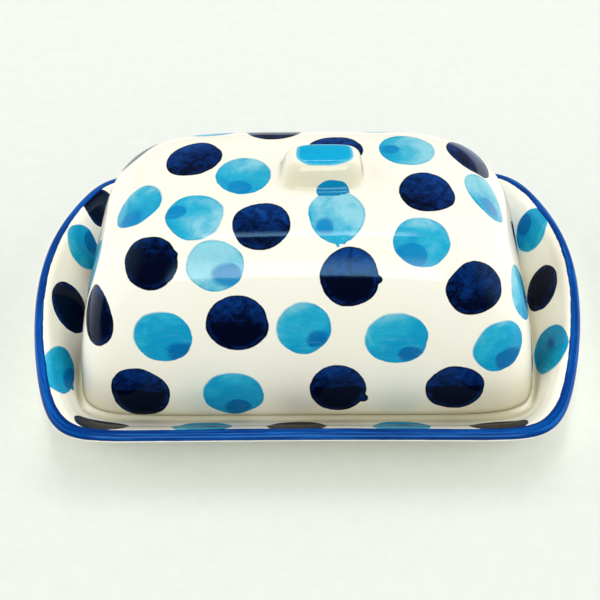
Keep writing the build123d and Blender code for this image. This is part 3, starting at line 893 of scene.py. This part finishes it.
def build_world():
    """Separate skies for camera rays, reflections and soft light."""
    world = bpy.data.worlds.new("studio")
    bpy.context.scene.world = world
    net = Net(world)
    # Incoming points from the sky to the viewer, so it is turned round
    incoming = net.split(net.out(net.add("ShaderNodeNewGeometry"), "Incoming"))
    x, y, z = [part * -1.0 for part in incoming]
    elevation = net.math("ARCSINE", z) * DEGREES
    front = net.ramp(y, over=(0.15, -0.25))
    window = net.ramp(abs(x + WINDOW_SHIFT), over=(0.28, 0.40), to=(1.0, 0.0))
    window = window * net.ramp(elevation, over=(FRONT_EDGE, FRONT_EDGE + 1.2))
    front_sky = FRONT_LOW + window * net.ramp(
        elevation, over=(FRONT_EDGE + 4, FRONT_EDGE + 34), to=(FRONT_HIGH, FRONT_TOP))
    back_sky = net.ramp(elevation, over=(2.0, 40.0), to=(BACK_LOW, BACK_TOP))
    mirrored = front * front_sky + (1.0 - front) * back_sky
    strip = net.ramp(y, over=(-0.12, -0.08)) * net.ramp(y, over=(-0.07, 0.13), to=(STRIP, 0.0))
    strip = strip * net.ramp(abs(x), over=(0.12, 0.30), to=(1.0, 0.0))
    mirrored = mirrored + strip * net.ramp(z, over=(0.5, 0.7))
    mirrored = mirrored + net.ramp(abs(x), over=(0.62, 0.92), to=(0.0, SIDE_GLOSS))
    soft = (net.ramp(y, over=(0.5, -0.6), to=(SOFT_BACK, SOFT_FRONT))
            + net.ramp(abs(x), over=(0.42, 0.92), to=(0.0, SOFT_SIDE)))
    path = net.add("ShaderNodeLightPath")
    glossy, camera_ray = net.out(path, "Is Glossy Ray"), net.out(path, "Is Camera Ray")
    sky = glossy * mirrored + (1.0 - glossy) * soft
    background = net.add("ShaderNodeBackground", {
        "Color": net.mix(camera_ray, SKY_LIGHT, BACKDROP),
        "Strength": camera_ray * BACKDROP_POWER + (1.0 - camera_ray) * sky})
    net.add("ShaderNodeOutputWorld", {"Surface": net.out(background)})


def orient(item, right, up, back, place):
    rows = [[right[i], up[i], back[i], place[i]] for i in range(3)]
    item.matrix_world = Matrix(rows + [[0, 0, 0, 1]])


def area_light(name, place, target, size, size_y, power, colour, spread=180.0):
    """Area light aimed at target, unseen by the camera and in reflections."""
    light = bpy.data.lights.new(name, "AREA")
    light.shape = "RECTANGLE"
    light.size, light.size_y = size, size_y
    light.energy, light.color = power, colour
    light.spread = math.radians(spread)
    lamp = link_object(name, light)
    back = np.array(place, float) - np.array(target, float)
    back /= np.linalg.norm(back)
    right = np.cross([0, 0, 1.0], back)
    length = np.linalg.norm(right)
    # a light aimed straight down keeps X as its right
    right = right / length if length > 1e-6 else np.array([1.0, 0, 0])
    orient(lamp, right, np.cross(back, right), back, place)
    lamp.visible_camera = False
    lamp.visible_glossy = False


def build_lights():
    area_light("top_softbox", place=(0.25, 1.0, 2.2), target=(0, 0, 0), size=1.6, size_y=1.2,
               power=14.0, colour=(1.0, 0.995, 0.98))
    # narrow beams down onto both ends of the dish
    for name, x, power in (("fill_left", -0.086, 0.0045), ("fill_right", 0.086, 0.0046)):
        area_light(name, place=(x, 0.0, 0.15), target=(x, 0.0, 0.0), size=0.02, size_y=0.11,
                   power=power, colour=(1.0, 0.99, 0.95), spread=22.0)


CAMERA_PLACE = (0.007816, -0.3188891, 0.3282891)
CAMERA_DOWN, CAMERA_YAW, CAMERA_ROLL = 0.7748, -0.0326, 0.0288  # radians
CAMERA_LENS, CAMERA_SENSOR = 70.192512, 36.0                    # mm


def build_camera():
    data = bpy.data.cameras.new("camera")
    data.lens, data.sensor_width = CAMERA_LENS, CAMERA_SENSOR
    data.clip_start, data.clip_end = 0.01, 20.0
    camera = link_object("camera", data)
    cos_yaw, sin_yaw = math.cos(CAMERA_YAW), math.sin(CAMERA_YAW)
    cos_down, sin_down = math.cos(CAMERA_DOWN), math.sin(CAMERA_DOWN)
    cos_roll, sin_roll = math.cos(CAMERA_ROLL), math.sin(CAMERA_ROLL)
    level = np.array([cos_yaw, -sin_yaw, 0])
    ahead = np.array([sin_yaw * cos_down, cos_yaw * cos_down, -sin_down])
    upright = np.array([sin_yaw * sin_down, cos_yaw * sin_down, cos_down])
    orient(camera, cos_roll * level - sin_roll * upright,
           sin_roll * level + cos_roll * upright, -ahead, CAMERA_PLACE)
    bpy.context.scene.camera = camera


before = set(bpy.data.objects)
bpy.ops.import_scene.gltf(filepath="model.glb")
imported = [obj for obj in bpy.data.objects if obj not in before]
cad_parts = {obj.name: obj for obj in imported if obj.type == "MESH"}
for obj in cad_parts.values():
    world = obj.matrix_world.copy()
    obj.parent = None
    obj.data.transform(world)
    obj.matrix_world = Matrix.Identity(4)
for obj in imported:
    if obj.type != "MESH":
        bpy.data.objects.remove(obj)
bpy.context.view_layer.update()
build_lid()
build_dish()
build_floor()
build_world()
build_lights()
build_camera()

view = bpy.context.scene.view_settings
view.view_transform = "Standard"
view.look = "None"
view.exposure = 0.0
view.gamma = 1.0
